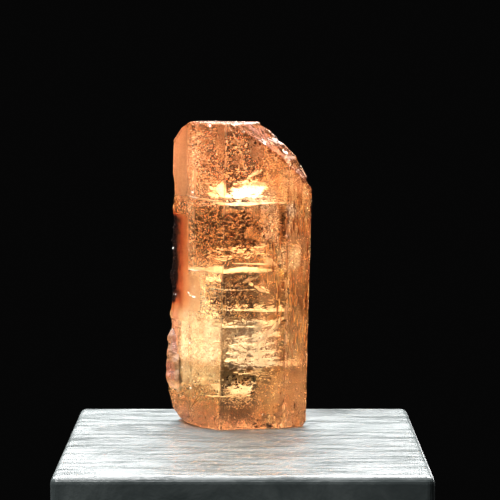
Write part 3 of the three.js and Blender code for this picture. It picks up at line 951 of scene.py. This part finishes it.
# Crust on the splintered edge, partly iron and partly painted shade, with a few pale crumbs in it
# that are painted glints.
height = skin[:, 2]
edge = (skin[:, 0] < -6.35) & (height > 12.2) & (height < 20.8) & (skin[:, 1] > 0.5)
edge = edge.astype(float)
flakes("iron_crust", *on_skin(edge, 500, 0.03, 0.04),
       (0.3, 1.2, 2), (0.3, 0.2, 0.1), 0.7, iron_crust, 10)
flakes("pale_crumbs", *on_skin(edge, 9, -0.02, 0.08),
       (0.4, 1.1, 2), (0.3, 0.2, 0.14), 0.7, glint_crumb, 11)

# Grit: bruises and tiny chips just under the skin, densest on edges, domes and foot.
weights = 0.35 + 2.5 * skin_layers["worn"] + 0.7 * skin_layers["domed"] + 2.6 * (height < 1.6)
weights *= np.where(np.abs(skin_facing[:, 2]) > 0.9, 0.3, 1.0)
weights *= np.where((height > 16) & (height < 22) & (skin[:, 0] < 2.6), 0.25, 1.0)
weights *= np.clip(0.55 + 1.1 * noise(skin, 1.6, 91), 0.05, None)
flakes("pale_grit", *on_skin(weights, 5200, 0.06),
       (0.35, 1.3, 2), (0.15, 0.09, 0.02), 1.3, white_flaw_and_highlight, 12)
weights *= np.clip(noise(skin, 2.4, 92), 0.05, None)
flakes("dark_grit", *on_skin(weights, 900, 0.05),
       (0.35, 1.2, 2), (0.14, 0.11, 0.03), 0.4, iron_speck, 13)

# Marks on the front, the pale ones partly chips and partly painted highlights and painted glints:
# count, from, to (across and height), strew.
PALE_MARKS_AND_HIGHLIGHTS = [
    (34, (-0.98, 30.2), (0.0, 28.5), 0.02),
    (14, (-2.85, 30.1), (-2.7, 29.8), 0.12),
    (30, (4.4, 24.4), (4.65, 24.15), 0.13),
    (60, (5.1, 21.9), (5.7, 21.2), 0.22),
    (60, (5.3, 24.0), (6.4, 24.9), 0.3),
    (50, (3.4, 27.2), (4.0, 26.7), 0.2),
    (40, (4.6, 25.9), (4.9, 25.3), 0.16),
    (40, (-2.2, 0.25), (6.0, 0.2), 0.1),
    (26, (3.4, 18.8), (6.3, 18.0), 0.04),
    (30, (-4.95, 21.6), (-4.85, 16.5), 0.3),
    # painted highlight along the edge between the two front faces
    (50, (-1.46, 21.5), (-1.86, 2.0), 0.025),
    (40, (4.9, 17.6), (6.1, 15.8), 0.3),
    # painted highlight along the right front edge
    (40, (4.82, 21.6), (4.68, 12.0), 0.03),
    (12, (4.3, 15.8), (4.35, 15.3), 0.1),
    # painted glints on the splintered left edge
    (8, (-5.4, 11.4), (-5.7, 10.6), 0.15),
]
DARK_MARKS = [
    (16, (1.3, 30.0), (1.75, 28.3), 0.03),
    (5, (0.05, 28.45), (0.1, 28.4), 0.04),
    (10, (3.15, 5.2), (3.2, 4.9), 0.08),
    (14, (5.65, 2.4), (5.8, 1.8), 0.12),
    (16, (1.3, 0.3), (2.0, 0.2), 0.14),
    (34, (2.5, 0.5), (3.3, 0.2), 0.16),
    (40, (-1.1, 5.4), (0.4, 4.4), 0.3),
    (10, (-7.0, 5.05), (-6.5, 5.15), 0.04),
    (4, (-7.0, 7.85), (-6.95, 7.75), 0.05),
    (3, (-6.95, 9.35), (-6.9, 9.25), 0.05),
    (4, (-7.1, 6.9), (-7.05, 6.7), 0.06),
    (26, (4.3, 21.8), (4.7, 18.9), 0.12),
    (18, (1.6, 26.6), (2.6, 25.2), 0.3),
]
MARK_FOOT = 0.16  # the lowest that a mark lies
# pale marks: chips, painted edge highlights and painted glints
flakes("pale_marks", marks(PALE_MARKS_AND_HIGHLIGHTS), (0.3, 0, 0),
       (0.4, 1.3, 1.5), (0.17, 0.12, 0.03), 0.5, white_flaw_and_highlight, 14)
flakes("dark_marks", marks(DARK_MARKS), (0.3, 0, 0),
       (0.4, 1.3, 1.5), (0.2, 0.16, 0.1), 0.6, iron_speck, 15)

# Slivers: clear and dark streaks that run up the right-hand faces, just under the skin.
right_front = (skin_facing[:, 1] < -0.2) & (np.abs(skin_facing[:, 2]) < 0.5)
right_front = right_front * np.clip((skin[:, 0] - 2.2) / 2.6, 0, 1) * (height < 22.6) * (height > 7)
for name, count, size, material, seed, patches in (
    ("golden_slivers", 150, (0.08, 0.05, 1.0), golden_sliver_and_glow, 16, 95),
    ("rust_slivers", 110, (0.07, 0.05, 1.1), rust_sliver, 17, 96),
):
    weights = right_front * np.clip(1.5 * noise(skin, (0.8, 3.0, 3.0), patches), 0.01, None)
    places, lies = on_skin(weights, count, 0.12)
    flakes(name, places, UPRIGHT, (0.3, 1.3, 1), size, 0.1, material, seed)

# Milky veils: pale flakes close behind the front that face up and forwards.
VEILS = [
    (900, (0.9, -2.0, 8.0), (1.5, 0.8, 1.2)),
    (300, (-3.2, -1.2, 8.4), (1.2, 0.8, 1.8)),
    (320, (0.2, -2.2, 2.9), (1.0, 0.6, 0.4)),
    (220, (-3.0, -1.4, 3.4), (0.9, 0.6, 0.7)),
    (420, (3.4, -2.6, 20.4), (0.5, 0.4, 1.1)),
    (260, (5.3, -2.2, 21.7), (0.26, 0.3, 0.35)),
    (260, (5.6, -2.0, 17.1), (0.3, 0.4, 0.6)),
    (200, (4.35, -2.5, 16.8), (0.16, 0.3, 0.8)),
    (220, (5.7, -1.5, 24.0), (0.6, 0.5, 0.5)),
    (110, (4.45, -2.6, 24.25), (0.13, 0.15, 0.13)),
    (260, (-4.6, -0.8, 27.0), (0.9, 0.6, 1.6)),
    (160, (3.4, -2.0, 26.4), (0.9, 0.6, 0.9)),
]
flakes("milky_veils", clouds(VEILS, margin=0.12), (0.8, 0, 0),
       (0.35, 1.3, 1.5), (0.16, 0.12, 0.02), 0.6, veil_flaw, 18)

# Sparks, tight knots of flakes that throw the back light forwards: count, middle, reach.
SPARKS = [
    (70, (4.4, 24.25), (0.1, 0.1)),
    (170, (5.2, 21.75), (0.22, 0.3)),
    (120, (5.6, 17.2), (0.28, 0.5)),
    (110, (6.0, 24.1), (0.35, 0.3)),
    (40, (2.15, 28.0), (0.16, 0.2)),
    (60, (3.6, 26.8), (0.3, 0.3)),
    (36, (4.8, 25.6), (0.2, 0.2)),
    (40, (-3.8, 29.2), (0.3, 0.15)),
    (90, (3.2, 22.9), (0.7, 0.3)),
    (110, (3.2, 20.6), (0.45, 0.9)),
    (26, (-5.45, 11.5), (0.08, 0.1)),
    (26, (-5.8, 10.7), (0.1, 0.12)),
    (60, (-4.0, 7.2), (0.25, 0.25)),
    (30, (6.0, 6.25), (0.3, 0.08)),
]
places = []
for count, middle, reach in SPARKS:
    spots = np.array(middle) + random.normal(size=(count, 2)) * reach
    places.append(front_skin(*spots.T) + (0, 0.3, 0))
flakes("sparks", np.concatenate(places), (0.19, 0, 0),
       (0.4, 1.2, 1), (0.24, 0.16, 0.02), 0.16, white_flaw_and_highlight, 22)

# Strokes of painted shade and painted glow: fine dark and golden worms just behind the front,
# standing for the etched back seen against the light.
STROKES = [
    (700, (-1.5, 19.7), (1.9, 1.2)),
    (300, (0.8, 19.4), (0.9, 1.2)),
    (420, (-0.6, 12.9), (1.2, 1.0)),
    (160, (0.4, 4.9), (0.6, 0.3)),
    (400, (-1.2, 26.0), (1.5, 1.1)),
    (200, (-2.2, 12.9), (0.4, 0.9)),
    (160, (2.6, 19.0), (0.9, 1.2)),
]
flakes("dark_strokes", *strokes(1.0, 98),
       (0.35, 1.2, 1), (0.42, 0.07, 0.03), 0.4, painted_shade_stroke, 20)
flakes("golden_strokes", *strokes(0.5, 99),
       (0.35, 1.2, 1), (0.36, 0.06, 0.03), 0.6, golden_sliver_and_glow, 21)

# Rusty film on the dome faces.
weights = skin_layers["domed"] * (skin[:, 0] > 0)
weights *= np.clip(0.3 + noise(skin, 1.1, 97), 0.01, None)
flakes("rust_film", *on_skin(weights, 420, 0.0),
       (0.4, 1.2, 1), (0.34, 0.24, 0.02), 0.12, rust_film, 19)

# Specks: count, middle, reach.
SPECKS = [
    (60, (-6.2, 2.2, 17), (0.6, 0.8, 3.0)),
    (24, (-1.0, 1.2, 4.9), (0.8, 0.6, 0.5)),
    (16, (-4.4, 0.5, 27), (1.4, 1.2, 1.6)),
    (14, (1.6, -0.5, 28), (0.5, 0.8, 1.6)),
    (30, (2.6, -2.0, 0.8), (1.8, 0.8, 0.5)),
    (30, (0, 0, 12), (4, 2, 8)),
]
places = drawn_in(clouds(SPECKS, margin=0.2))
flakes("iron_specks", places, random.uniform(-1.5, 1.5, (len(places), 3)),
       (0.4, 1.3, 2), (0.2, 0.14, 0.1), 0.5, iron_speck, 7)


# ---------------- floor, lights and camera

SLAB_LOW, SLAB_HIGH = (-16.6, -32.4, -12), (17.7, 11.3, -0.03)
SLAB_ROUNDING = 0.7
SLAB_COLOURS = [(0.3, (0.03, 0.036, 0.036)), (0.7, (0.055, 0.064, 0.063))]

bpy.ops.mesh.primitive_cube_add(size=1)
slab = bpy.context.object
slab.name = "pale_slab"
slab.scale = [(high - low) * MM for low, high in zip(SLAB_LOW, SLAB_HIGH)]
slab.location = [(low + high) / 2 * MM for low, high in zip(SLAB_LOW, SLAB_HIGH)]
bpy.ops.object.transform_apply(location=True, rotation=True, scale=True)
bevel = slab.modifiers.new("rounded edges", "BEVEL")
bevel.width = SLAB_ROUNDING * MM
bevel.segments = 5
f = Finish("pale slab")
streaks = f.noise(0.16, stretch=(1, 5, 1), detail=5.0, rough=0.65, distortion=0.4)
f.fill(f.shader, {"Base Color": f.ramp(streaks, SLAB_COLOURS)})
f.fill(f.shader, {"Roughness": f.step(streaks, 0.35, 0.65, 0.28, 0.5)})
f.fill(f.shader, {"Normal": f.bump(streaks, 0.12)})
slab.data.materials.append(f.material)

# Soft boxes of light: name, place, what they aim at, width and height, power.
MIDDLE = (0, 0, 15)
LAMPS = [
    ("back right box", (95, 60, 185), MIDDLE, (110, 100), 1.0),
    ("back left box", (-100, 100, 160), MIDDLE, (110, 100), 1.0),
    ("back top box", (0, 115, 140), MIDDLE, (130, 100), 0.85),
    ("back rim strip", (0, 200, 42), (0, 0, 30), (110, 16), 0.003),
    ("front top box", (-70, -90, 170), MIDDLE, (110, 110), 1.15),
    ("low right panel", (46, 46, -1), (0, 0, 8), (34, 10), 0.009),
]
for name, place, aim, size, power in LAMPS:
    light = bpy.data.lights.new(name, "AREA")
    light.shape = "RECTANGLE"
    light.size, light.size_y = size[0] * MM, size[1] * MM
    light.energy = power
    lamp = shown(name, light)
    lamp.location = Vector(place) * MM
    lamp.rotation_euler = (Vector(aim) - Vector(place)).to_track_quat("-Z", "Y").to_euler()
    lamp.visible_camera = False

ROOM_GLOW = 0.0035
world = bpy.data.worlds.new("dark room")
world.use_nodes = True
world.node_tree.nodes["Background"].inputs["Color"].default_value = (*[ROOM_GLOW] * 3, 1)
scene.world = world

SENSOR_WIDTH = 36
FOCAL_SHARE = 5.4  # focal length as a share of the sensor's width
CAMERA_PLACE = (1.21, -270, 39.54)
CAMERA_DROP = 22  # how far its aim falls over the distance to the crystal
camera_data = bpy.data.cameras.new("camera")
camera_data.sensor_width = SENSOR_WIDTH
camera_data.lens = FOCAL_SHARE * SENSOR_WIDTH
camera = shown("camera", camera_data)
camera.location = Vector(CAMERA_PLACE) * MM
camera.rotation_euler = (math.atan2(-CAMERA_PLACE[1], CAMERA_DROP), 0, 0)
scene.camera = camera

scene.view_settings.view_transform = "Standard"
scene.view_settings.look = "Medium High Contrast"
for name, value in {
    "use_denoising": True,
    "denoiser": "OPENIMAGEDENOISE",
    "denoising_input_passes": "RGB_ALBEDO_NORMAL",
    "denoising_prefilter": "ACCURATE",
    "sample_clamp_indirect": 20,
    "blur_glossy": 0.0,
    "max_bounces": 24,
    "transmission_bounces": 20,
    "glossy_bounces": 12,
    "diffuse_bounces": 4,
    "caustics_refractive": True,
    "caustics_reflective": True,
}.items():
    setattr(scene.cycles, name, value)
